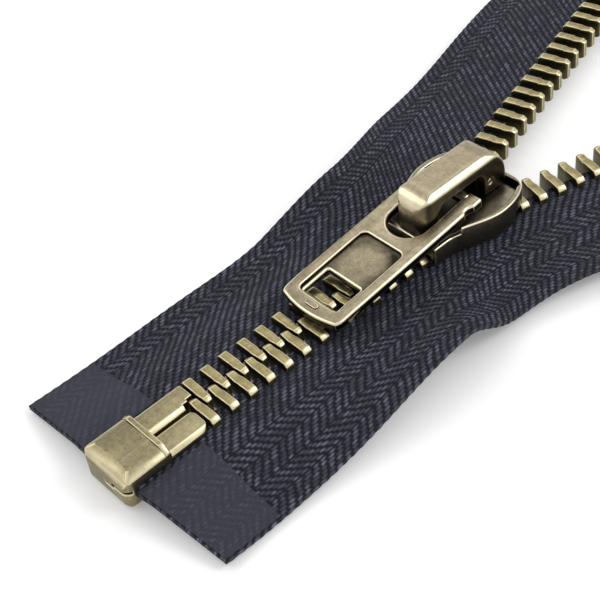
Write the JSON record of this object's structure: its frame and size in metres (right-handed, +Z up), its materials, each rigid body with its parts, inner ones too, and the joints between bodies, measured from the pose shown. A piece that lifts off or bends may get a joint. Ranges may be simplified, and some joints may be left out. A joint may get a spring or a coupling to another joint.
{
  "type": "separating metal zipper",
  "caption": "Separating metal zipper with two corded fabric tapes, interlocking teeth, an auto-lock slider with pull tab, top stops and a box-and-pin lower end.",
  "frame": {"origin": "middle of the whole length on the chain's centre line, on the surface that the zipper lies on", "axes": "+Y along the closed chain from the retainer box towards the top stops, +Z up on the crown side, +X across towards the tape with the insertion pin"},
  "size_m": [0.102, 0.1812, 0.0126],
  "materials": {
    "tape": "woven herringbone",
    "film": "satin film bonded on the weave",
    "teeth": "antique, worn bright on the faces",
    "fittings": "antique, satin",
    "slider": "antique, satin with worn edges",
    "spring": "plain"
  },
  "bodies": {
    "zipper": {"tape_left_lower": "tape", "tape_right_lower": "tape", "film_left": "film", "film_right": "film", "teeth_left_closed": "teeth", "teeth_right_closed": "teeth", "retainer_box": "fittings", "retainer_pin": "fittings", "insertion_pin": "fittings"},
    "left_row": {"tape_left_branch": "tape", "teeth_left_open": "teeth"},
    "right_row": {"tape_right_branch": "tape", "teeth_right_open": "teeth"},
    "left_top": {"tape_left_end": "tape", "teeth_left_end": "teeth", "top_stop_left": "teeth"},
    "right_top": {"tape_right_end": "tape", "teeth_right_end": "teeth", "top_stop_right": "teeth"},
    "slider": {"slider_body": "slider", "crown": "slider", "lock_pin": "fittings", "lock_spring": "spring"},
    "pull": {"pull_tab": "slider"},
    "pawl": {"lock_pawl": "fittings"}
  },
  "joints": [
    {"name": "slider_travel", "type": "slide", "parent": "zipper", "child": "slider", "axis": [0, 1, 0], "range_m": [0, 0.0915]},
    {"name": "left_fork", "type": "hinge", "parent": "zipper", "child": "left_row", "pos_m": [0, -0.0325, 0.003], "axis": [0, 0, 1], "range_deg": [-15, 0], "deforming": ["tape_left_branch", "teeth_left_open"]},
    {"name": "right_fork", "type": "hinge", "parent": "zipper", "child": "right_row", "pos_m": [0, -0.0325, 0.003], "axis": [0, 0, 1], "range_deg": [0, 15], "deforming": ["tape_right_branch", "teeth_right_open"]},
    {"name": "left_top_turn", "type": "hinge", "parent": "left_row", "child": "left_top", "pos_m": [-0.02368, 0.05588, 0.003], "axis": [0, 0, 1], "range_deg": [0, 15]},
    {"name": "right_top_turn", "type": "hinge", "parent": "right_row", "child": "right_top", "pos_m": [0.02368, 0.05588, 0.003], "axis": [0, 0, 1], "range_deg": [-15, 0]},
    {"name": "pull_swing", "type": "hinge", "parent": "slider", "child": "pull", "pos_m": [0, -0.0306, 0.0086], "axis": [-1, 0, 0], "range_deg": [0, 165]},
    {"name": "pawl_lift", "type": "hinge", "parent": "slider", "child": "pawl", "pos_m": [0, -0.0254, 0.0082], "axis": [-1, 0, 0], "range_deg": [0, 5], "deforming": ["lock_spring"]}
  ],
  "couplings": [
    {"joint": "left_fork", "follows": "slider_travel", "rad_per_m": -2.861},
    {"joint": "right_fork", "follows": "slider_travel", "rad_per_m": 2.861},
    {"joint": "left_top_turn", "follows": "slider_travel", "rad_per_m": 2.861},
    {"joint": "right_top_turn", "follows": "slider_travel", "rad_per_m": -2.861},
    {"joint": "pawl_lift", "follows": "pull_swing", "ratio": 0.0303}
  ]
}
